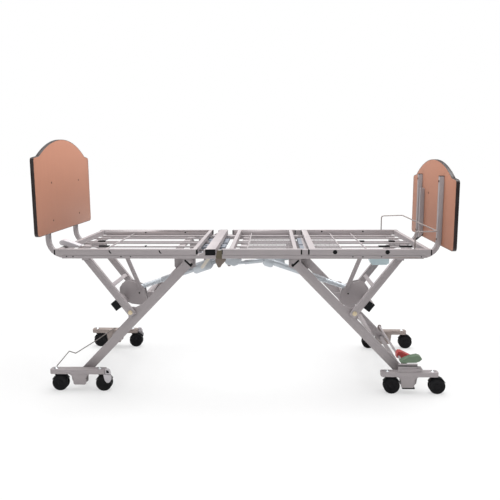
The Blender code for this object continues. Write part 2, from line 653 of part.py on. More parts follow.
    # The base: a bar over two casters on each side, its skirt and inner plate, and the axle between them.
    bar = []
    for cx, cy, start in ((BASE_X[1] - 0.012, BASE_Y[1] - 0.012, 0), (BASE_X[0] + 0.012, BASE_Y[1] - 0.012, 90),
                          (BASE_X[0] + 0.012, BASE_Y[0] + 0.012, 180), (BASE_X[1] - 0.012, BASE_Y[0] + 0.012, 270)):
        for i in range(5):
            t = math.radians(start + 22.5 * i)
            bar.append((cx + 0.012 * math.cos(t), cy + 0.012 * math.sin(t)))
    skirt = [(0.984, 0.1010), (0.976, 0.0975), (0.966, 0.090), (0.959, 0.075), (0.958, 0.045), (0.951, 0.038),
             (0.893, 0.038), (0.886, 0.045), (0.885, 0.075), (0.878, 0.090), (0.868, 0.0975), (0.860, 0.1010)]
    plate = [(0.872, 0.124), (0.877, 0.092), (0.887, 0.075), (0.888, 0.044), (0.896, 0.035), (0.972, 0.035),
             (0.981, 0.044), (0.986, 0.080), (0.990, 0.124)]
    inner_y = (BASE_Y[0] - 0.005, BASE_Y[0] + 0.0005)
    for side in (-1, 1):
        outline = [(a, side * b) for a, b in bar]
        joined = [prism(skirt, *sides((BASE_Y[1] - 0.0055, BASE_Y[1] - 0.0005), side)),
                  prism(plate, *sides(inner_y, side))]
        if end > 0 and side < 0:
            joined.append(box((0.885, 0.995), (-BASE_Y[1] + 0.004, -BASE_Y[0] - 0.004), (0.1245, 0.143)))
            joined.append(box((0.880, 1.000), (-BASE_Y[1] + 0.001, -BASE_Y[0] - 0.002), (0.1425, 0.147)))
        holes = []
        if end > 0:
            ear = [(0.886, 0.123), (0.918, 0.123), (0.917, 0.165), (0.911, 0.172), (0.899, 0.172), (0.893, 0.165)]
            joined.append(prism(ear, *sides(inner_y, side)))
            holes.append(rod(*BRAKE_SHAFT, 0.0076, *sides((BASE_Y[0] - 0.014, BASE_Y[0] + 0.0015), side), count=16))
        first = prism(outline, *BASE_Z, axis="z")
        node(f"base_{name}_{SIDE_NAME[side]}", "frame", mirrored(first, end), [mirrored(b, end) for b in joined],
             holes, origin=(end * PIVOT_B[0], 0, PIVOT_B[1]))
    ends = [(end * PIVOT_B[0], s * (BASE_Y[0] - 0.0054), PIVOT_B[1]) for s in (-1, 1)]
    axle = sweep(ends, round_outline(0, 0, 0.0125), round_outline(0, 0, 0.0100), flat=False)
    node(f"base_axle_{name}", "frame", axle, origin=(end * PIVOT_B[0], 0, PIVOT_B[1]))

    # The lift drive: its rod hinged on the arm's crank, the motor and outer tube that slide along it up to
    # the middle cross member, and the strut from the crank up under the rail.
    q = Vector((PIVOT_Q[0], 0, PIVOT_Q[1]))
    p = Vector((PIVOT_P[0], 0, PIVOT_P[1]))
    d = (p - q).normalized()
    n_up = Vector((-d.z, 0, d.x))
    start, stop, rise = LIFT_MOTOR[end]
    first = sweep([point(q + d * (stop - 0.010), ROD_Y), point(q + d * 0.440, ROD_Y)],
                  round_outline(0, 0, LIFT_ROD_R + 0.0028, 16), round_outline(0, 0, LIFT_ROD_R + RUN_GAP, 16),
                  flat=False)
    m0, m1 = q + d * start, q + d * stop
    motor = [m0 + n_up * rise, m1 + n_up * rise, m1 - n_up * 0.016, m1 - d * 0.012 - n_up * 0.023,
             m0 + d * 0.012 - n_up * 0.023, m0 - n_up * 0.016]
    eye = [q + d * (start + 0.005) + n_up * 0.010, q - d * 0.008 + n_up * 0.008, q - d * 0.010 - n_up * 0.004,
           q - d * 0.002 - n_up * 0.010, q + d * (start + 0.005) - n_up * 0.010]
    joined = [prism([(v.x, v.z) for v in motor], ROD_Y - 0.062, ROD_Y + 0.024),
              prism([(v.x, v.z) for v in eye], ROD_Y - 0.0125, ROD_Y + 0.0125)]
    node(f"lift_drive_{name}", "zinc", mirrored(first, end), [mirrored(b, end) for b in joined],
         origin=(end * PIVOT_Q[0], ROD_Y, PIVOT_Q[1]))
    first = sweep([point(q + d * (stop + 0.095), ROD_Y), point(p - d * 0.008, ROD_Y)],
                  round_outline(0, 0, LIFT_ROD_R, 16), flat=False)
    pin_hole = rod(*PIVOT_P, PIN_R + RUN_GAP, ROD_Y - 0.045, ROD_Y + 0.035, count=16)
    node(f"lift_rod_{name}", "zinc", mirrored(first, end),
         [mirrored(rod(PIVOT_P[0], PIVOT_P[1], 0.0150, ROD_Y - 0.0150, ROD_Y + 0.0150), end)],
         [mirrored(pin_hole, end)], origin=(end * PIVOT_P[0], ROD_Y, PIVOT_P[1]))
    g = Vector((LINK_TOP[0], 0, LINK_TOP[1]))
    e = (p - g).normalized()
    f = Vector((-e.z, 0, e.x)) * 0.0115
    strip = [g - e * 0.008 + f, g - e * 0.008 - f, p + e * 0.004 - f, p + e * 0.010 - f * 0.5,
             p + e * 0.010 + f * 0.5, p + e * 0.004 + f]
    pin_hole = rod(*PIVOT_P, PIN_R + RUN_GAP, ROD_Y - 0.045, ROD_Y + 0.035, count=16)
    link_y = ROD_Y - CRANK_GAP - CRANK_T - 0.0025
    link = prism([(v.x, v.z) for v in strip], link_y - 0.0075, link_y)
    node(f"lift_link_{name}", "frame", mirrored(link, end), (), [mirrored(pin_hole, end)],
         origin=(end * PIVOT_P[0], ROD_Y, PIVOT_P[1]))

# Casters: a hooded twin-wheel swivel and its wheel, two under each base bar.
WHEEL = [(0, -0.0215), (0.034, -0.0215), (0.042, -0.0205), (WHEEL_R, -0.0170), (WHEEL_R, -0.0085), (0.041, -0.0065),
         (0.008, -0.0065), (0.008, 0.0065), (0.041, 0.0065), (WHEEL_R, 0.0085), (WHEEL_R, 0.0170), (0.042, 0.0205),
         (0.034, 0.0215), (0, 0.0215)]
for end in (-1, 1):
    for side in (-1, 1):
        for place, stem in zip(("inner", "outer"), STEM_X):
            x = end * stem
            y = side * CASTER_Y
            wx = x + TRAIL
            label = f"{END_NAME[end]}_{SIDE_NAME[side]}_{place}"
            fender = []
            for radius, angles in ((0.0500, range(-20, 111, 26)), (0.0465, range(110, -21, -26))):
                for a in angles:
                    fender.append((wx + radius * math.sin(math.radians(a - 45)),
                                   WHEEL_R + radius * math.cos(math.radians(a - 45))))
            web = [(wx + 0.036 * math.sin(math.radians(a)), WHEEL_R + 0.036 * math.cos(math.radians(a)))
                   for a in range(80, 281, 25)]
            web += [(wx + 0.048 * math.sin(math.radians(a)), WHEEL_R + 0.048 * math.cos(math.radians(a)))
                    for a in range(-62, 63, 31)]
            hood = prism(web, y - 0.0058, y + 0.0058)
            stem_post = rod(x, y, 0.0090, 0.0880, BASE_Z[0] - 0.0003, "z", 14)
            node(f"caster_{label}", "black", hood, [prism(fender, y - 0.0205, y + 0.0205), stem_post],
                 [rod(wx, WHEEL_R, 0.0088, y - 0.02, y + 0.02, count=16)], origin=(x, y, BASE_Z[0]))
            wheel = lathe(WHEEL, 20)
            bmesh.ops.translate(wheel, verts=wheel.verts, vec=(wx, y, WHEEL_R))
            node(f"wheel_{label}", "black", wheel, origin=(wx, y, WHEEL_R))

# Backrest and thigh drives: each motor and outer tube is hinged on the frame, and its rod slides in it.
for name, mount, pin, y, inner, body in (
    ("back", BACK_MOUNT, BACK_LEVER, BACK_Y, 0.140, 0.245),
    ("thigh", THIGH_MOUNT, THIGH_LEVER, THIGH_Y, 0.205, 0.300),
):
    q = Vector((mount[0], 0, mount[1]))
    p = Vector((pin[0], 0, pin[1]))
    d = (p - q).normalized()
    n_up = Vector((d.z, 0, -d.x))
    first = sweep([point(q + d * 0.115, y), point(q + d * body, y)],
                  round_outline(0, 0, 0.0130, 16), round_outline(0, 0, ROD_R + RUN_GAP, 16), flat=False)
    m0, m1 = q + d * 0.060, q + d * 0.130
    motor = [m0 + n_up * 0.018, m1 + n_up * 0.018, m1 - n_up * 0.024, m1 - d * 0.014 - n_up * 0.036,
             m0 + d * 0.014 - n_up * 0.036, m0 - n_up * 0.024]
    eye = [m0 + d * 0.002 + n_up * 0.010, q - d * 0.006 + n_up * 0.010, q - d * 0.010, q - d * 0.006 - n_up * 0.010,
           m0 + d * 0.002 - n_up * 0.010]
    node(f"{name}_drive", "zinc", first,
         [prism([(v.x, v.z) for v in motor], y - 0.034, y + 0.034),
          prism([(v.x, v.z) for v in eye], y - 0.0125, y + 0.0125)],
         [rod(mount[0], mount[1], PIN_R + RUN_GAP, y - 0.0200, y + 0.0200, count=16)],
         origin=(mount[0], y, mount[1]))
    first = sweep([point(q + d * inner, y), point(p - d * 0.004, y)],
                  round_outline(0, 0, ROD_R, 16), flat=False)
    node(f"{name}_rod", "zinc", first, [rod(pin[0], pin[1], 0.0105, y - 0.008, y + 0.008)],
         origin=(pin[0], y, pin[1]))

# Brake pedals on their cross shaft, at the foot end.
green = [(0.893, 0.152), (0.890, 0.170), (0.915, 0.188), (0.945, 0.203), (0.975, 0.209), (0.998, 0.200),
         (1.009, 0.186), (0.990, 0.171), (0.972, 0.161), (0.930, 0.153)]
red = [(0.893, 0.151), (0.893, 0.172), (0.915, 0.181), (0.950, 0.169), (0.990, 0.149), (0.996, 0.139), (0.985, 0.134),
       (0.940, 0.144)]
node(
    "brake_pedals", "pedal", rod(*BRAKE_SHAFT, 0.0070, -BASE_Y[0] - 0.031, BASE_Y[0] + 0.001, count=16),
    [prism(green, -BASE_Y[0] - 0.043, -BASE_Y[0] - 0.004), prism(red, -0.2500, -0.2050)],
    origin=(BRAKE_SHAFT[0], 0, BRAKE_SHAFT[1]),
)

# The bent wire across the head base, from one caster stem to the far bar.
guard = [(-1.062, -CASTER_Y, 0.1286), (-1.064, -CASTER_Y + 0.0225, 0.1330), (-1.083, -0.119, 0.1330),
         (-1.030, -0.156, 0.1330), (-0.980, 0.100, 0.1330), (-0.934, CASTER_Y - 0.0095, 0.1330),
         (-0.933, CASTER_Y + 0.0015, 0.1286)]
node("base_wire_head", "frame", sweep(guard, round_outline(0, 0, 0.0030, 8), flat=False),
     origin=(-PIVOT_B[0], 0, PIVOT_B[1]))

# The plan's middle goes to the origin: the head posts stand proud of the head board by less than the foot board.
for obj in list(bed.objects) + list(cutters.objects):
    obj.location.x -= MID_X
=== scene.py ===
"""Electric hospital bed, dressed. Metres, +X toward the foot end, +Y to the far side, +Z up."""
import math
import bmesh
import bpy
from mathutils import Matrix, Vector


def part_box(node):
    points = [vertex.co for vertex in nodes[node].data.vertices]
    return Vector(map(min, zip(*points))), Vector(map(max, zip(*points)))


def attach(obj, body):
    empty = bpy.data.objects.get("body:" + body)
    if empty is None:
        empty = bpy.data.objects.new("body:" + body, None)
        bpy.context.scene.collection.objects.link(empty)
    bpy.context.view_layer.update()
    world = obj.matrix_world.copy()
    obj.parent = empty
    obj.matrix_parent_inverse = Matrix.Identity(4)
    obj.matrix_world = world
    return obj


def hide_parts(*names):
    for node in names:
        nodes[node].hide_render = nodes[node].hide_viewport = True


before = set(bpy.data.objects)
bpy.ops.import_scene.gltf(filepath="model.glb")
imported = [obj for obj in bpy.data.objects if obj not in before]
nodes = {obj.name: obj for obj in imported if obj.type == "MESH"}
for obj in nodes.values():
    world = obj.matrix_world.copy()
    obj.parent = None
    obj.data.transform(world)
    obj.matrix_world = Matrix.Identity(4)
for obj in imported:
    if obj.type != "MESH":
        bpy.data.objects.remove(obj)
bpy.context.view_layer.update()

frame_shift = -0.00115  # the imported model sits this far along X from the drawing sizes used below


# Caster bases.
# Four welded bars of bent steel sheet, each over two casters, with a skirt outside and a plate inside, all
# powder coated a warm grey. The same coat is on every steel part of the bed, so it is set up here.
def node_group(name, outputs, inputs):
    group = bpy.data.node_groups.new(name, "ShaderNodeTree")
    for label, kind, value in inputs:
        socket = group.interface.new_socket(label, in_out="INPUT", socket_type=kind)
        socket.default_value = value
    for label, kind in outputs:
        group.interface.new_socket(label, in_out="OUTPUT", socket_type=kind)
    return group, group.nodes.new("NodeGroupInput"), group.nodes.new("NodeGroupOutput")


def add(tree, kind, **values):
    made = tree.nodes.new(kind)
    for key, value in values.items():
        if hasattr(made, key):
            setattr(made, key, value)
        else:
            made.inputs[key.replace("_", " ")].default_value = value
    return made


def join(tree, source, target):
    tree.links.new(source, target)


coat, coat_in, coat_out = node_group(
    "powder_coat",
    [("Color", "NodeSocketColor"), ("Roughness", "NodeSocketFloat"), ("Height", "NodeSocketFloat")],
    [("Coat", "NodeSocketColor", (0.3, 0.3, 0.3, 1)), ("Dust", "NodeSocketFloat", 0.12),
     ("Gloss", "NodeSocketFloat", 0.42), ("Grain", "NodeSocketFloat", 900.0)],
)
where = add(coat, "ShaderNodeTexCoord")
orange_peel = add(coat, "ShaderNodeTexNoise", Detail=2.0)
join(coat, where.outputs["Object"], orange_peel.inputs["Vector"])
join(coat, coat_in.outputs["Grain"], orange_peel.inputs["Scale"])
mottle = add(coat, "ShaderNodeTexNoise", Scale=9.0, Detail=5.0, Roughness=0.6)
join(coat, where.outputs["Object"], mottle.inputs["Vector"])
smears = add(coat, "ShaderNodeMapRange", From_Min=0.42, From_Max=0.72)
join(coat, mottle.outputs["Fac"], smears.inputs["Value"])
amount = add(coat, "ShaderNodeMath", operation="MULTIPLY")
join(coat, smears.outputs["Result"], amount.inputs[0])
join(coat, coat_in.outputs["Dust"], amount.inputs[1])
dusty = add(coat, "ShaderNodeMix", data_type="RGBA")
dusty.inputs["B"].default_value = (0.50, 0.46, 0.43, 1)
join(coat, amount.outputs[0], dusty.inputs["Factor"])
join(coat, coat_in.outputs["Coat"], dusty.inputs["A"])
speck = add(coat, "ShaderNodeMapRange", From_Min=0.3, From_Max=0.7, To_Min=0.95, To_Max=1.05)
join(coat, orange_peel.outputs["Fac"], speck.inputs["Value"])
tint = add(coat, "ShaderNodeVectorMath", operation="SCALE")
join(coat, dusty.outputs["Result"], tint.inputs[0])
join(coat, speck.outputs["Result"], tint.inputs["Scale"])
join(coat, tint.outputs["Vector"], coat_out.inputs["Color"])
dull = add(coat, "ShaderNodeMath", operation="MULTIPLY_ADD")
dull.inputs[1].default_value = 0.18
join(coat, smears.outputs["Result"], dull.inputs[0])
join(coat, coat_in.outputs["Gloss"], dull.inputs[2])
join(coat, dull.outputs[0], coat_out.inputs["Roughness"])
join(coat, orange_peel.outputs["Fac"], coat_out.inputs["Height"])


def bare_material(name, metallic=0.0, specular=0.5):
    made = bpy.data.materials.new(name)
    made.use_nodes = True
    shader = made.node_tree.nodes["Principled BSDF"]
    shader.inputs["Metallic"].default_value = metallic
    shader.inputs["Specular IOR Level"].default_value = specular
    return made, made.node_tree, shader


def coated(name, colour, dust=0.12, gloss=0.42, grain=900.0, depth=0.00004, metallic=0.0, specular=0.5):
    made, tree, shader = bare_material(name, metallic, specular)
    look = tree.nodes.new("ShaderNodeGroup")
    look.node_tree = coat
    look.inputs["Coat"].default_value = (*colour, 1)
    look.inputs["Dust"].default_value = dust
    look.inputs["Gloss"].default_value = gloss
    look.inputs["Grain"].default_value = grain
    bump = add(tree, "ShaderNodeBump", Strength=0.6, Distance=depth)
    join(tree, look.outputs["Height"], bump.inputs["Height"])
    join(tree, look.outputs["Color"], shader.inputs["Base Color"])
    join(tree, look.outputs["Roughness"], shader.inputs["Roughness"])
    join(tree, bump.outputs["Normal"], shader.inputs["Normal"])
    return made


steel = coated("grey_powder_coat", (0.268, 0.242, 0.248), 0.08)
dark_plastic = coated("black_plastic", (0.0025, 0.003, 0.004), 0.004, 0.46, 400.0, specular=0.12)
bright_zinc = coated("bright_zinc", (0.60, 0.62, 0.64), 0.05, 0.28, 300.0, 0.00002, 0.9)


def dress(names, material, bevel=0.0008):
    """Paints CAD nodes, and softens their edges."""
    for name in names:
        piece = nodes[name]
        piece.data.materials.clear()
        piece.data.materials.append(material)
        weld = piece.modifiers.new("weld", "WELD")
        weld.merge_threshold = 0.00001
        if bevel:
            soft = piece.modifiers.new("edge", "BEVEL")
            soft.width = bevel
            soft.segments = 2
            soft.limit_method = "ANGLE"
            soft.angle_limit = math.radians(32)
            soft.use_clamp_overlap = False
            soft.harden_normals = True
        piece.data.shade_smooth()


def keep(name, bm, body, material, replaced=(), smooth=True):
    """Makes a finished mesh a piece of the bed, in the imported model's place, riding on its body."""
    bmesh.ops.translate(bm, verts=bm.verts, vec=(frame_shift, 0, 0))
    mesh = bpy.data.meshes.new(name)
    bm.to_mesh(mesh)
    bm.free()
    piece = bpy.data.objects.new(name, mesh)
    bpy.context.scene.collection.objects.link(piece)
    mesh.materials.append(material)
    if smooth:
        mesh.shade_smooth()
        piece.modifiers.new("flat_faces", "WEIGHTED_NORMAL").keep_sharp = True
    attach(piece, body)
    if replaced:
        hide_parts(*replaced)
    return piece


def ease(bm, verts, offset, segments):
    """Rounds over the edges at these vertices."""
    edges = list({e for v in verts for e in v.link_edges})
    bmesh.ops.bevel(bm, geom=edges, offset=offset, segments=segments, affect="EDGES", profile=0.5,
                    material=-1, clamp_overlap=True)


def block(bm, low, high, edge=0.001, segments=2):
    """A box with eased edges."""
    made = bmesh.ops.create_cube(bm, size=1.0)["verts"]
    low, high = Vector(low), Vector(high)
    bmesh.ops.scale(bm, verts=made, vec=high - low)
    bmesh.ops.translate(bm, verts=made, vec=(low + high) / 2)
    if edge:
        ease(bm, made, edge, segments)


def slab(bm, outline, low, high, edge=0.0006, segments=2, axis="y"):
    """An outline (x and z, or y and z where the axis is x) given a thickness, with eased edges."""
    def place(a, b, depth):
        return (a, depth, b) if axis == "y" else (depth, a, b)
    face = bm.faces.new([bm.verts.new(place(a, b, low)) for a, b in outline])
    near = list(face.verts)
    grown = bmesh.ops.extrude_face_region(bm, geom=[face])["geom"]
    far = [v for v in grown if isinstance(v, bmesh.types.BMVert)]
    bmesh.ops.translate(bm, verts=far, vec=place(0, 0, high - low))
    faces = list({f for v in near + far for f in v.link_faces})
    bmesh.ops.recalc_face_normals(bm, faces=faces)
    if edge:
        ease(bm, near + far, edge, segments)


def turned(bm, profile, centre, axis, steps=32):
    """Spins a (radius, along) profile about an axis through the centre."""
    axis = Vector(axis).normalized()
    side = axis.orthogonal().normalized()
    verts = [bm.verts.new(Vector(centre) + side * r + axis * a) for r, a in profile]
    edges = [bm.edges.new(pair) for pair in zip(verts, verts[1:])]
    bmesh.ops.spin(bm, geom=verts + edges, cent=centre, axis=axis, angle=math.tau, steps=steps,
                   use_merge=True)
    bmesh.ops.remove_doubles(bm, verts=bm.verts, dist=0.000002)
    bmesh.ops.recalc_face_normals(bm, faces=bm.faces)


def disc(bm, radius, thick, centre, axis, steps):
    """A plain round plate standing on its centre point."""
    turned(bm, [(0.0, 0.0), (radius, 0.0), (radius, thick), (0.0, thick)], centre, axis, steps)


dress([n for n in nodes if n.startswith("base_") and n.endswith("near")], steel)
# The far bases get a darker, browner copy of the grey coat: painted shade on the far side.
dress(["base_head_far", "base_foot_far"], coated("shaded_grey_coat", (0.235, 0.192, 0.175), 0.08))
dress(["base_wire_head"], coated("dark_wire", (0.10, 0.085, 0.08)), 0)
dress([n for n in nodes if n.startswith("base_axle")], steel, 0)

# Stem bolts: a zinc plated dome nut on top of each caster stem.
base_x = {"inner": 0.811, "outer": 1.062}
caster_y = 0.3945
bar_top = 0.125
for end, sign in (("head", -1), ("foot", 1)):
    bm = bmesh.new()
    for x in base_x.values():
        for y in (-caster_y, caster_y):
            turned(bm, [(0.0, 0.0085), (0.0045, 0.0078), (0.0075, 0.0055), (0.0088, 0.002), (0.0115, 0.0016),
                        (0.0120, 0.0004), (0.0, 0.0004)], (sign * x, y, bar_top), (0, 0, 1), 20)
    keep(f"stem_nuts_{end}", bm, f"base_{end}", bright_zinc)

# The guard plate in front of the brake shaft with a black strip along its top, and a black strip under the
# skirt.
guard_x = (0.8668, 0.9722)
guard_front = -0.4150
skirt_bottom = 0.0380
bm = bmesh.new()
block(bm, (guard_x[0], guard_front, bar_top - 0.0005), (guard_x[1], guard_front + 0.0024, 0.1770), 0.0006)
keep("brake_guard", bm, "base_foot", steel)
bm = bmesh.new()
block(bm, (guard_x[0], guard_front - 0.0010, 0.1605), (guard_x[1], guard_front + 0.0001, 0.1665), 0.0003)
block(bm, (0.8930, -0.4180, skirt_bottom - 0.0080), (0.9620, -0.4000, skirt_bottom + 0.0001), 0.0008)
keep("brake_guard_black_strips", bm, "base_foot", dark_plastic)

# Casters.
# Twin-wheel swivel casters of black nylon with a soft tread: a hood over each wheel pair, and on two of them
# the light grey lever of the swivel lock.
tread = coated("caster_tread", (0.003, 0.003, 0.004), 0.010, 0.52, 700.0, 0.00008, specular=0.14)
rim = [(0.0, -0.0165), (0.0060, -0.0165), (0.0068, -0.0172), (0.0120, -0.0172), (0.0130, -0.0150),
       (0.0240, -0.0150), (0.0252, -0.0188), (0.0330, -0.0196), (0.0342, -0.0212), (0.0410, -0.0212),
       (0.0440, -0.0196), (0.0449, -0.0170), (0.0450, -0.0110), (0.0441, -0.0080), (0.0410, -0.0066),
       (0.0090, -0.0066)]
for node in [n for n in nodes if n.startswith("wheel_")]:
    low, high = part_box(node)
    centre = (Vector(low) + Vector(high)) / 2 - Vector((frame_shift, 0, 0))
    bm = bmesh.new()
    profile = rim + [(r, -a) for r, a in reversed(rim)]
    turned(bm, profile, centre, (0, 1, 0), 56)
    body = "wheel_" + node[len("wheel_"):]
    keep(f"{node}_tyre", bm, body, tread, [node])
dress([n for n in nodes if n.startswith("caster_")], dark_plastic, 0.0006)

# Swivel lock levers of the two inner casters at the head end: the pressed lever on the caster and its stop
# on the end of the bar.
pale_plastic = coated("pale_grey_plastic", (0.42, 0.40, 0.42), 0.05, 0.40, 500.0)
lever_x = -0.811 + 0.0385
for side, tag in ((-1, "near"), (1, "far")):
    face_y = side * 0.4180
    bm = bmesh.new()
    lever = [(lever_x - 0.012, 0.0985), (lever_x + 0.026, 0.0985), (lever_x + 0.0335, 0.088),
             (lever_x + 0.0325, 0.071), (lever_x + 0.024, 0.056), (lever_x + 0.014, 0.0485),
             (lever_x + 0.0035, 0.050), (lever_x - 0.006, 0.064), (lever_x - 0.011, 0.083)]
    slab(bm, lever, *sorted((face_y, face_y - side * 0.0045)), 0.0012)
    keep(f"lock_lever_{tag}", bm, f"swivel_head_{tag}_inner", pale_plastic)
    bm = bmesh.new()
    stop = [(-0.7740, 0.1005), (-0.7445, 0.1005), (-0.7465, 0.1160), (-0.7550, 0.1290), (-0.7740, 0.1310)]
    slab(bm, stop, *sorted((face_y, face_y - side * 0.016)), 0.0012)
    keep(f"lock_stop_{tag}", bm, "base_head", pale_plastic)
    # A flat black patch for the slot in the stop: painted shade in the slot.
    bm = bmesh.new()
    slot = [(-0.7700, 0.1250), (-0.7560, 0.1230), (-0.7500, 0.1080), (-0.7660, 0.1060)]
    slab(bm, slot, *sorted((face_y + side * 0.0006, face_y - side * 0.0010)), 0.0003)
    keep(f"lock_slot_{tag}", bm, "base_head", dark_plastic)

# Legs and lift arms.
# Rectangular steel tubes in scissor pairs, with gusset plates, crank plates and cross tubes welded on. Their
# open ends are closed with pressed-in black plastic caps, and brass coloured bolts join them.
dress([n for n in nodes if n.startswith(("leg_", "lift_arm_", "lift_link_"))], steel)
brass = coated("yellow_zinc_bolt", (0.50, 0.42, 0.29), 0.05, 0.34, 300.0, 0.00002, 0.6)

leg_angle = math.radians(46.0)
along = Vector((math.cos(leg_angle), -math.sin(leg_angle)))
across = Vector((math.sin(leg_angle), math.cos(leg_angle)))
leg_top = Vector((0.2970, 0.7291))
elbow = Vector((0.6255, 0.4520))
shoulder = Vector((0.8641, 0.7650))
arm_dir = (shoulder - elbow).normalized()
arm_out = Vector((arm_dir.y, -arm_dir.x))
leg_y, arm_y = (0.318, 0.356), (0.360, 0.385)
elbow_tube_end = -0.0534
crank_face = -0.2234


def four(centre, u, v):
    return [tuple(centre - u - v), tuple(centre + u - v), tuple(centre + u + v), tuple(centre - u + v)]


def mirror(points, sign):
    return [(sign * a, b) for a, b in points]


for end, sign in (("head", -1), ("foot", 1)):
    bm = bmesh.new()
    for side in (-1, 1):
        cap = four(leg_top + along * 0.0015, along * 0.0052, across * 0.0258)
        slab(bm, mirror(cap, sign), *sorted((side * (leg_y[0] - 0.0004), side * (leg_y[1] + 0.0012))), 0.0008)
    turned(bm, [(0.0, 0.0035), (0.0125, 0.0033), (0.0157, 0.0015), (0.0157, 0.0), (0.0, 0.0)],
           (sign * elbow.x, elbow_tube_end, elbow.y), (0, -1, 0), 28)
    keep(f"leg_caps_{end}", bm, f"leg_{end}", dark_plastic)

    bm = bmesh.new()
    tie = elbow + arm_dir * 0.080 + arm_out * 0.03755
    cap = four(tie, arm_dir * 0.0256, arm_out * 0.0192)
    slab(bm, mirror(cap, sign), -arm_y[1] - 0.0040, -arm_y[1] - 0.0010, 0.0010)
    keep(f"arm_tube_caps_{end}", bm, f"arm_{end}", dark_plastic)

    bm = bmesh.new()
    hexagon = [(elbow.x + 0.0095 * math.cos(a * math.pi / 3), elbow.y + 0.0095 * math.sin(a * math.pi / 3))
               for a in range(6)]
    slab(bm, mirror(hexagon, sign), -arm_y[1] - 0.0085, -arm_y[1] - 0.0028, 0.0008)
    disc(bm, 0.0130, 0.0016, (sign * elbow.x, -arm_y[1] - 0.0014, elbow.y), (0, -1, 0), 24)
    keep(f"elbow_bolts_{end}", bm, f"arm_{end}", brass)

    bm = bmesh.new()
    disc(bm, 0.0046, 0.0008, (sign * 0.6078, crank_face, 0.5273), (0, -1, 0), 16)
    keep(f"crank_pin_centre_{end}", bm, f"arm_{end}", dark_plastic)

# Drives.
# Linear actuators: a zinc plated outer tube with a rod of the same colour, and a motor housing at its
# frame end. They hang from pins through ears on the cross members and the cranks.
tube_zinc = coated("zinc_tube", (0.40, 0.43, 0.46), 0.04, 0.33, 300.0, 0.00002, 0.45)
dress([n for n in nodes if n.startswith(("lift_rod", "back_rod", "thigh_rod"))], tube_zinc, 0.0004)
dress([n for n in nodes if n.startswith(("lift_drive", "back_drive", "thigh_drive"))], tube_zinc, 0.0010)

# Frame.
# Two side rails of flat tube with cross members welded between them, all powder coated, and a seat bar
# bolted across the top.
dress([n for n in nodes if n.startswith(("rail_", "cross_")) or n == "seat_bar"], steel)
deck_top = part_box("head_section")[1][2]
half_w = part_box("head_section")[1][1]
tube = 0.032
rail_face = half_w - 0.0005

# Filler plates between the sections, on the rails: the one at the backrest is cut back for its swing.
backrest_line = -0.2365
bm = bmesh.new()
for side in (-1, 1):
    filler = [(backrest_line + 0.0080, 0.7873), (backrest_line + 0.0080, 0.7880),
              (backrest_line + 0.0340, 0.8020), (backrest_line + 0.0380, 0.8185), (-0.1914, 0.8185),
              (-0.1914, 0.7873)]
    slab(bm, filler, *sorted((side * (half_w - 0.0008), side * 0.4140)), 0.0004)
    block(bm, (0.3305, min(side * (half_w - 0.0008), side * 0.4140), 0.7873),
          (0.3612, max(side * (half_w - 0.0008), side * 0.4140), 0.8188), 0.0006)
keep("gap_fillers", bm, "frame", steel)

# Zinc plated channels under the two gaps, either side of the backrest lever. Their slots are flat black
# patches on top: painted shade in the openings.
channels = ((-0.2620, -0.2000), (-0.1680, -0.1120))
bm = bmesh.new()
for x0, x1 in channels:
    block(bm, (x0, -0.3885, 0.7660), (x1, -0.2900, 0.7815), 0.0012)
    block(bm, (x0, -0.1050, 0.7660), (x1, 0.0300, 0.7815), 0.0012)
    block(bm, (x0, 0.0920, 0.7660), (x1, 0.3885, 0.7815), 0.0012)
for y0, y1 in ((-0.3800, -0.0600), (-0.0200, 0.3600)):
    block(bm, (0.3310, y0, 0.7660), (0.3600, y1, 0.7860), 0.0020)
blue_grey_zinc = coated("blue_grey_zinc", (0.150, 0.163, 0.190), 0.10, 0.45, 300.0, specular=0.3)
keep("gap_channels", bm, "frame", blue_grey_zinc)
# Black patches for the slots in the channels: painted shade.
bm = bmesh.new()
for x0, x1 in channels:
    for y in (-0.33, -0.06, 0.16, 0.30):
        mid = (x0 + x1) / 2
        block(bm, (mid - 0.006, y - 0.016, 0.7805), (mid + 0.006, y + 0.016, 0.7820), 0.0003)
keep("channel_slot_shade", bm, "frame", dark_plastic)

# Fixing holes along the rails, drawn as flat black discs: painted shade in the holes.
bm = bmesh.new()
for x in (-0.949, -0.913, -0.650, -0.598, 0.600, 0.653, 0.752, 0.962):
    for side in (-1, 1):
        disc(bm, 0.0034, 0.0004, (x, side * (rail_face - 0.0001), 0.7805), (0, side, 0), 14)
keep("rail_holes", bm, "frame", dark_plastic)
bm = bmesh.new()
block(bm, (0.768, -rail_face - 0.0003, 0.7755), (0.944, -rail_face + 0.0002, 0.7775), 0.0001)
keep("rail_scuff", bm, "frame", coated("bare_scuff", (0.20, 0.15, 0.13), 0.3, 0.6, 300.0))

# Black plastic plugs in the ends of the seat bar.
seat_x = (-0.191, -0.136)
bm = bmesh.new()
for side in (-1, 1):
    y = sorted((side * (half_w - 0.0012), side * (half_w + 0.0012)))
    block(bm, (seat_x[0] - 0.0003, y[0], deck_top - tube - 0.0002),
          (seat_x[1] + 0.0003, y[1], deck_top + 0.0002), 0.0010)
keep("seat_bar_plugs", bm, "frame", dark_plastic)

# Deck.
# Three hinged sections of square steel tube with flat strips welded in between, powder coated. The
# retainer wire at the foot end is bent from one rod.
dress(["head_section", "thigh_section", "foot_section"], steel, 0.0006)
dress(["mattress_retainer"], coated("brown_grey_coat", (0.20, 0.165, 0.155)), 0)

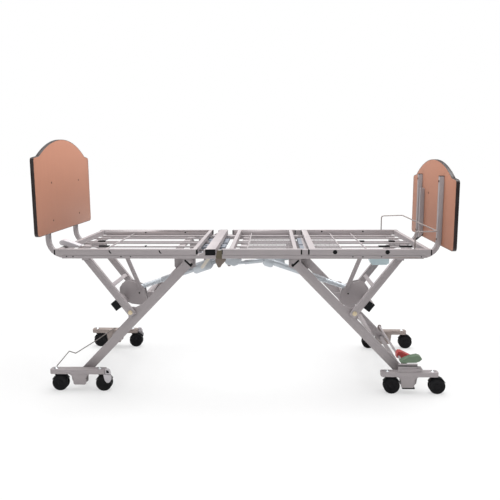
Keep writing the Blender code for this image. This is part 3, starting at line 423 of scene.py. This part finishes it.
# Plugs in the tube ends, black, with a lip that shows round the near end of each tube.
sections = {"backrest": ("head", -1.016, -0.236), "thigh": ("thigh", -0.102, 0.328),
            "foot": ("foot", 0.364, 1.016)}
hinged_ends = (-0.236, -0.102, 0.328, 0.364)
for body, (label, x0, x1) in sections.items():
    bm = bmesh.new()
    for x, toward in ((x0, -1), (x1, 1)):
        bare = deck_top - tube + (0.0045 if x in hinged_ends else 0.0006)
        for side in (-1, 1):
            lip = sorted((x - toward * 0.0055, x + toward * 0.0009))
            y = sorted((side * (half_w - 0.0006), side * (half_w + 0.0004)))
            block(bm, (lip[0], y[0], bare), (lip[1], y[1], deck_top - 0.0012), 0.0003)
            y = sorted((side * (half_w - tube - 0.0004), side * (half_w - tube + 0.0006)))
            block(bm, (lip[0], y[0], bare), (lip[1], y[1], deck_top - 0.0012), 0.0003)
            end_x = sorted((x - toward * 0.0004, x + toward * 0.0010))
            y = sorted((side * (half_w + 0.0003), side * (half_w - tube + 0.0012)))
            block(bm, (end_x[0], y[0], bare), (end_x[1], y[1], deck_top - 0.0010), 0.0003)
    keep(f"{label}_tube_plugs", bm, body, dark_plastic)

# Keyhole slots in the sides of the tubes, drawn as flat black patches: painted shade in the slots. Round
# plugs in the sides of the tubes.
bm = bmesh.new()
for x in (-0.709, -0.436):
    for side in (-1, 1):
        keyhole = [(x - 0.0075, 0.8130), (x - 0.0040, 0.8155), (x - 0.0005, 0.8120), (x + 0.0015, 0.8065),
                   (x + 0.0080, 0.7990), (x + 0.0070, 0.7960), (x + 0.0010, 0.7975), (x - 0.0055, 0.8045)]
        slab(bm, keyhole, *sorted((side * (half_w - 0.0002), side * (half_w + 0.0003))), 0.0)
        inner = side * (half_w - tube)
        disc(bm, 0.0050, 0.0003, (x + 0.009, inner + side * 0.0002, 0.8045), (0, -side, 0), 16)
keep("backrest_keyholes", bm, "backrest", dark_plastic)
bm = bmesh.new()
for x in (0.505, 0.783):
    for side in (-1, 1):
        turned(bm, [(0.0, 0.0026), (0.0080, 0.0024), (0.0112, 0.0014), (0.0118, 0.0), (0.0, 0.0)],
               (x, side * half_w, 0.8055), (0, side, 0), 28)
        inner = side * (half_w - tube)
        disc(bm, 0.0056, 0.0003, (x, inner + side * 0.0002, 0.8110), (0, -side, 0), 16)
keep("foot_plugs", bm, "foot", dark_plastic)


def mesh_panel(bm, x_span, y_span, z, pitch=0.0220, wire=0.0009):
    """Welded wire mesh: wires along the bed on top of wires across it."""
    count = int((y_span[1] - y_span[0]) / pitch)
    for i in range(count + 1):
        y = y_span[0] + i * (y_span[1] - y_span[0]) / count
        block(bm, (x_span[0], y - wire, z), (x_span[1], y + wire, z + 2 * wire), 0)
    count = int((x_span[1] - x_span[0]) / pitch)
    for i in range(count + 1):
        x = x_span[0] + i * (x_span[1] - x_span[0]) / count
        block(bm, (x - wire, y_span[0], z - 1.8 * wire), (x + wire, y_span[1], z + 0.2 * wire), 0)


grille_y = half_w - tube + 0.0005
strap_top = deck_top - 0.0215
bm = bmesh.new()
mesh_panel(bm, (0.036, 0.284), (-grille_y, 0.100), strap_top + 0.0010)
keep("thigh_mesh", bm, "thigh", steel)
bm = bmesh.new()
mesh_panel(bm, (0.403, 0.556), (-grille_y, 0.100), strap_top + 0.0010)
keep("foot_mesh", bm, "foot", steel)

# Black blocks over the strips near both ends of the deck, standing for the shadows in the gaps there: painted
# shade.
gap_shadow_blocks = {"backrest": ((-0.916, -0.870, 0.030), (-0.848, -0.785, -0.180), (-0.575, -0.566, -0.180)),
         "foot": ((0.880, 0.918, 0.030), (0.782, 0.845, -0.180), (0.900, 0.975, -0.180),
                  (0.703, 0.733, 0.030))}
for body, places in gap_shadow_blocks.items():
    bm = bmesh.new()
    for x0, x1, y in places:
        block(bm, (x0, y - 0.0085, strap_top - 0.0040), (x1, y + 0.0085, strap_top + 0.0035), 0.0010)
    keep(f"{body}_clips", bm, body, dark_plastic)

# Boards.
# Laminated chipboard panels with an arched top and a dark plastic edge band, on bent square posts.
dress([n for n in nodes if "board_post" in n], steel)
laminate, tree, shader = bare_material("cherry_laminate", specular=0.4)
place = add(tree, "ShaderNodeTexCoord")
stretch = add(tree, "ShaderNodeMapping")
stretch.inputs["Scale"].default_value = (14.0, 14.0, 1.3)
join(tree, place.outputs["Object"], stretch.inputs["Vector"])
grain = add(tree, "ShaderNodeTexNoise", Scale=3.0, Detail=7.0, Roughness=0.62, Distortion=0.5)
join(tree, stretch.outputs["Vector"], grain.inputs["Vector"])
pores = add(tree, "ShaderNodeTexNoise", Scale=22.0, Detail=3.0)
join(tree, stretch.outputs["Vector"], pores.inputs["Vector"])
tones = add(tree, "ShaderNodeValToRGB")
tones.color_ramp.elements[0].position = 0.30
tones.color_ramp.elements[0].color = (0.338, 0.150, 0.096, 1)
tones.color_ramp.elements[1].position = 0.70
tones.color_ramp.elements[1].color = (0.360, 0.164, 0.106, 1)
join(tree, grain.outputs["Fac"], tones.inputs["Fac"])
flecks = add(tree, "ShaderNodeMapRange", From_Min=0.60, From_Max=0.75, To_Min=1.0, To_Max=0.95)
join(tree, pores.outputs["Fac"], flecks.inputs["Value"])
tinted = add(tree, "ShaderNodeVectorMath", operation="SCALE")
join(tree, tones.outputs["Color"], tinted.inputs[0])
join(tree, flecks.outputs["Result"], tinted.inputs["Scale"])
join(tree, tinted.outputs["Vector"], shader.inputs["Base Color"])
sheen = add(tree, "ShaderNodeMapRange", To_Min=0.40, To_Max=0.52)
join(tree, grain.outputs["Fac"], sheen.inputs["Value"])
join(tree, sheen.outputs["Result"], shader.inputs["Roughness"])
dress(["headboard", "footboard"], laminate)

# The edge band follows the outline of each board and stands a little proud of it.
edge_plastic = coated("brown_edge_band", (0.014, 0.008, 0.008), 0.02, 0.34, 200.0, specular=0.3)
board_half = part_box("headboard")[1][1]


def board_outline(bottom, shoulder_z, peak):
    r = 0.022
    outline = []
    for cy, start in ((-board_half + r, 180), (board_half - r, 270)):
        for i in range(5):
            t = math.radians(start + 22.5 * i)
            outline.append((cy + r * math.cos(t), bottom + r + r * math.sin(t)))
    outline += [(board_half, shoulder_z - 0.016), (board_half - 0.006, shoulder_z - 0.004),
                (board_half - 0.020, shoulder_z)]
    reach = board_half - 0.078
    sag = peak - shoulder_z - 0.007
    arch_r = (reach * reach + sag * sag) / (2 * sag)
    span = math.asin(reach / arch_r)
    for i in range(25):
        t = span * (1 - i / 12)
        outline.append((arch_r * math.sin(t), peak - arch_r * (1 - math.cos(t))))
    outline += [(-board_half + 0.020, shoulder_z), (-board_half + 0.006, shoulder_z - 0.004),
                (-board_half, shoulder_z - 0.016)]
    return outline


def edge_band(bm, outline, x0, x1, proud=0.0008, lip=0.0012):
    """A closed strip round an outline, wrapped a little over both faces."""
    count = len(outline)
    rings = []
    for i, (y, z) in enumerate(outline):
        before, after = Vector(outline[i - 1]), Vector(outline[(i + 1) % count])
        direction = (after - before).normalized()
        out = Vector((direction.y, -direction.x))
        outer = Vector((y, z)) + out * proud
        inner = Vector((y, z)) - out * lip
        rings.append([bm.verts.new((x0 - 0.0002, *inner)), bm.verts.new((x0 - 0.0002, *outer)),
                      bm.verts.new((x1 + 0.0002, *outer)), bm.verts.new((x1 + 0.0002, *inner))])
    for i in range(count):
        a, b = rings[i], rings[(i + 1) % count]
        for k in range(4):
            bm.faces.new((a[k], b[k], b[(k + 1) % 4], a[(k + 1) % 4]))
    bmesh.ops.recalc_face_normals(bm, faces=bm.faces)


boards = {"head": ("headboard", 0.886, 1.313, 1.420), "foot": ("footboard", 0.810, 1.186, 1.291)}
for end, (node, bottom, shoulder_z, peak) in boards.items():
    low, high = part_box(node)
    bm = bmesh.new()
    edge_band(bm, board_outline(bottom, shoulder_z, peak), low[0] - frame_shift, high[0] - frame_shift)
    keep(f"{end}_edge_band", bm, "frame", edge_plastic)

# Board screws, and the plugs in the tops of the foot posts.
screw_dark = coated("bronze_screw", (0.10, 0.055, 0.035), 0.05, 0.35, 300.0, 0.00002, 0.7)
head_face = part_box("headboard")[1][0] - frame_shift
foot_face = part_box("footboard")[0][0] - frame_shift
post = 0.0254
screw = [(0.0, 0.0022), (0.0030, 0.0020), (0.0052, 0.0012), (0.0060, 0.0), (0.0, 0.0)]
bm = bmesh.new()
for y, z in ((-0.224, 1.172), (0.240, 1.171), (-0.225, 0.955), (0.231, 0.958)):
    turned(bm, screw, (head_face, y, z), (1, 0, 0), 18)
turned(bm, screw, (foot_face, 0.069, 1.090), (-1, 0, 0), 18)
for y in (-0.235, 0.235):
    for z in (1.172, 0.846):
        turned(bm, [(r * 1.25, a * 1.6) for r, a in screw], (foot_face - post - 0.0003, y, z), (-1, 0, 0), 18)
keep("board_screws", bm, "frame", screw_dark)
bm = bmesh.new()
for y in (-0.235, 0.235):
    block(bm, (foot_face - post - 0.0008, y - post / 2 - 0.0005, 1.1985),
          (foot_face - 0.0002, y + post / 2 + 0.0005, 1.2025), 0.0010)
keep("post_plugs", bm, "frame", dark_plastic)

# A short square tube beside the far foot post, open for an accessory pole, mitred and plugged below.
bm = bmesh.new()
socket_y = (0.1600, 0.1600 + post)
socket_x = (foot_face - post - 0.0003, foot_face - 0.0003)
slab(bm, [(socket_x[0], 0.8030), (socket_x[1], 0.8250), (socket_x[1], 1.1140), (socket_x[0], 1.1140)],
     *socket_y, 0.0010)
keep("pole_socket", bm, "frame", steel)
bm = bmesh.new()
slab(bm, [(socket_x[0] - 0.0160, 0.7905), (socket_x[0] - 0.0130, 0.7865), (socket_x[1], 0.8195),
          (socket_x[1], 0.8245)], socket_y[0] - 0.0008, socket_y[1] + 0.0008, 0.0008)
keep("pole_socket_plug", bm, "frame", dark_plastic)

# Control box and pendant.
# A grey moulded control box hung under the middle cross member with the mains inlet in its near face, a
# brown transformer beside it under the near rail with an olive cover clipped over the rail, and the pale
# hand pendant lying on the deck at the head end.
box_grey = coated("control_box_grey", (0.40, 0.43, 0.46), 0.06, 0.42, 350.0)
bm = bmesh.new()
box_side = [(-0.0960, 0.7430), (-0.0960, 0.7200), (-0.0860, 0.7100), (-0.0640, 0.7070), (-0.0480, 0.7010),
            (-0.0260, 0.7080), (-0.0120, 0.7220), (-0.0050, 0.7430)]
slab(bm, box_side, -0.3000, -0.2680, 0.0030, 3)
block(bm, (-0.0190, -0.2900, 0.7390), (-0.0070, -0.2760, 0.7700), 0.0010)
keep("control_box", bm, "frame", box_grey)
bm = bmesh.new()
block(bm, (-0.0570, -0.3012, 0.7130), (-0.0330, -0.2995, 0.7300), 0.0012)
keep("mains_inlet", bm, "frame", box_grey)
olive = coated("olive_cover", (0.070, 0.056, 0.030), 0.05, 0.50, 400.0)
rust = coated("brown_transformer", (0.115, 0.088, 0.070), 0.10, 0.50, 400.0)
bm = bmesh.new()
slab(bm, [(-0.1270, 0.8150), (-0.1012, 0.8150), (-0.1012, 0.7691), (-0.1307, 0.7691), (-0.1337, 0.7775)],
     -half_w - 0.0030, -half_w, 0.0008)
keep("transformer_cover", bm, "frame", olive)
bm = bmesh.new()
slab(bm, [(-0.1386, 0.7690), (-0.1386, 0.7498), (-0.1245, 0.7181), (-0.1120, 0.7181), (-0.1035, 0.7329),
          (-0.0824, 0.7540), (-0.0844, 0.7640), (-0.1031, 0.7690)], -0.4300, -0.4000, 0.0015)
keep("transformer", bm, "frame", rust)
strap_cream = coated("cream_strap", (0.56, 0.52, 0.45), 0.10, 0.5, 400.0)
bm = bmesh.new()
slab(bm, [(-0.1700, 0.7878), (-0.1860, 0.7878), (-0.1900, 0.7600), (-0.2365, 0.6960), (-0.2290, 0.6850),
          (-0.2180, 0.6910), (-0.1720, 0.7550)], -0.3040, -0.2990, 0.0012)
keep("motor_strap", bm, "frame", strap_cream)

# The pale blue housing of the foot end's lock motor, under the foot section.
motor_blue = coated("pale_blue_housing", (0.40, 0.50, 0.53), 0.06, 0.35, 350.0)
bm = bmesh.new()
slab(bm, [(0.7440, 0.7660), (0.7440, 0.7000), (0.7560, 0.6790), (0.8420, 0.6790), (0.8560, 0.6890),
          (0.8560, 0.7660)], -0.1350, -0.0650, 0.0050, 3)
keep("foot_motor", bm, "frame", motor_blue)

pendant = [(-1.0200, 0.8400), (-1.0170, 0.8520), (-1.0060, 0.8590), (-0.9900, 0.8580), (-0.9450, 0.8430),
           (-0.9050, 0.8270), (-0.9060, 0.8180), (-0.9450, 0.8185), (-0.9860, 0.8240), (-1.0120, 0.8300)]
bm = bmesh.new()
slab(bm, pendant, -0.3560, -0.3060, 0.0060, 4)
keep("pendant", bm, "backrest", pale_plastic)

# Brake pedals.
# A green and a red moulded pedal pressed on the steel cross shaft of the foot base, which turns in the
# bars at both sides.
green = coated("green_pedal", (0.088, 0.140, 0.085), 0.06, 0.5, 500.0)
red = coated("red_pedal", (0.40, 0.045, 0.040), 0.04, 0.45, 500.0)
shaft = Vector((0.905, 0.160))
bm = bmesh.new()
turned(bm, [(0.0, -0.400), (0.0070, -0.400), (0.0070, 0.370), (0.0, 0.370)], (shaft.x, 0, shaft.y),
       (0, 1, 0), 24)
keep("brake_shaft", bm, "pedals", steel, ["brake_pedals"])
bm = bmesh.new()
slab(bm, [(0.8820, 0.1790), (0.8960, 0.1790), (0.8960, 0.1540), (0.9140, 0.1540), (0.9140, 0.1790),
          (0.9660, 0.1800), (0.9850, 0.1880), (0.9985, 0.2010), (0.9893, 0.2155), (0.9702, 0.2225),
          (0.9329, 0.2150), (0.9000, 0.2010), (0.8760, 0.1860)],
     -0.4120, -0.3730, 0.0030, 3)
keep("green_pedal", bm, "pedals", green)
bm = bmesh.new()
slab(bm, [(0.8930, 0.1510), (0.8930, 0.1740), (0.9020, 0.1900), (0.9180, 0.1900), (0.9792, 0.1600),
          (0.9740, 0.1500), (0.9467, 0.1480)], -0.2500, -0.2050, 0.0025, 3)
keep("red_pedal", bm, "pedals", red)

# Studio.
# A white floor and plain light from above, as in a catalogue picture. The floor keeps a faint shadow
# under the two bases. The camera stands where the photo's did.
bm = bmesh.new()
bmesh.ops.create_grid(bm, x_segments=1, y_segments=1, size=40.0)
mesh = bpy.data.meshes.new("floor")
bm.to_mesh(mesh)
bm.free()
floor = bpy.data.objects.new("floor", mesh)
bpy.context.scene.collection.objects.link(floor)
floor_paint, tree, shader = bare_material("floor_paint", specular=0.1)
shader.inputs["Roughness"].default_value = 0.8
white = tree.nodes.new("ShaderNodeEmission")
mixer = tree.nodes.new("ShaderNodeMixShader")
path_kind = tree.nodes.new("ShaderNodeLightPath")
white.inputs["Strength"].default_value = 1.02
paint = add(tree, "ShaderNodeMapRange", To_Min=0.86, To_Max=0.60)
join(tree, path_kind.outputs["Is Camera Ray"], paint.inputs["Value"])
join(tree, paint.outputs["Result"], shader.inputs["Base Color"])
spot = add(tree, "ShaderNodeTexCoord")
reach = add(tree, "ShaderNodeVectorMath", operation="LENGTH")
join(tree, spot.outputs["Object"], reach.inputs[0])
outward = add(tree, "ShaderNodeMapRange", From_Min=1.2, From_Max=2.0, To_Min=0.55, To_Max=1.0)
inward = add(tree, "ShaderNodeMapRange", From_Min=0.30, From_Max=0.85, To_Min=1.0, To_Max=0.55)
fade = add(tree, "ShaderNodeMath", operation="MAXIMUM")
for side, ramp in enumerate((outward, inward)):
    join(tree, reach.outputs["Value"], ramp.inputs["Value"])
    join(tree, ramp.outputs["Result"], fade.inputs[side])
share = add(tree, "ShaderNodeMath", operation="MULTIPLY")
join(tree, path_kind.outputs["Is Camera Ray"], share.inputs[0])
join(tree, fade.outputs[0], share.inputs[1])
join(tree, share.outputs[0], mixer.inputs["Fac"])
join(tree, shader.outputs[0], mixer.inputs[1])
join(tree, white.outputs[0], mixer.inputs[2])
join(tree, mixer.outputs[0], tree.nodes["Material Output"].inputs["Surface"])
mesh.materials.append(floor_paint)

world = bpy.data.worlds.new("studio_air")
bpy.context.scene.world = world
world.use_nodes = True
tree = world.node_tree
sky = tree.nodes["Background"]
sky.inputs["Color"].default_value = (1, 1, 1, 1)
seen = tree.nodes.new("ShaderNodeLightPath")
level = tree.nodes.new("ShaderNodeMapRange")
level.inputs["To Min"].default_value = 0.38
level.inputs["To Max"].default_value = 1.0
join(tree, seen.outputs["Is Camera Ray"], level.inputs["Value"])
join(tree, level.outputs["Result"], sky.inputs["Strength"])


def lamp(name, place, aim, size, power):
    data = bpy.data.lights.new(name, "AREA")
    data.shape = "RECTANGLE"
    data.size, data.size_y = size
    data.energy = power
    made = bpy.data.objects.new(name, data)
    made.location = place
    made.rotation_euler = (Vector(aim) - Vector(place)).to_track_quat("-Z", "Y").to_euler()
    bpy.context.scene.collection.objects.link(made)


lamp("overhead", (0.3, 0.5, 4.2), (0, 0, 0.6), (5.0, 4.0), 430.0)
lamp("front_fill", (-1.5, -5.0, 2.6), (0, 0, 0.6), (3.0, 2.0), 60.0)

yaw, pitch, roll = math.radians(-2.25), math.radians(8.87), math.radians(-0.31)
ahead = Vector((math.sin(yaw) * math.cos(pitch), math.cos(yaw) * math.cos(pitch), -math.sin(pitch)))
right = Vector((math.cos(yaw), -math.sin(yaw), 0))
up = right.cross(ahead)
right, up = right * math.cos(roll) + up * math.sin(roll), up * math.cos(roll) - right * math.sin(roll)
turn = Matrix((right, up, -ahead)).transposed().to_4x4()
camera_data = bpy.data.cameras.new("camera")
camera_data.sensor_width = 36.0
camera_data.lens = 579.4 / 500 * 36.0
camera = bpy.data.objects.new("camera", camera_data)
camera.matrix_world = Matrix.Translation((0.171 + frame_shift, -3.513, 1.296)) @ turn
bpy.context.scene.collection.objects.link(camera)
bpy.context.scene.camera = camera
bpy.context.scene.view_settings.view_transform = "Standard"
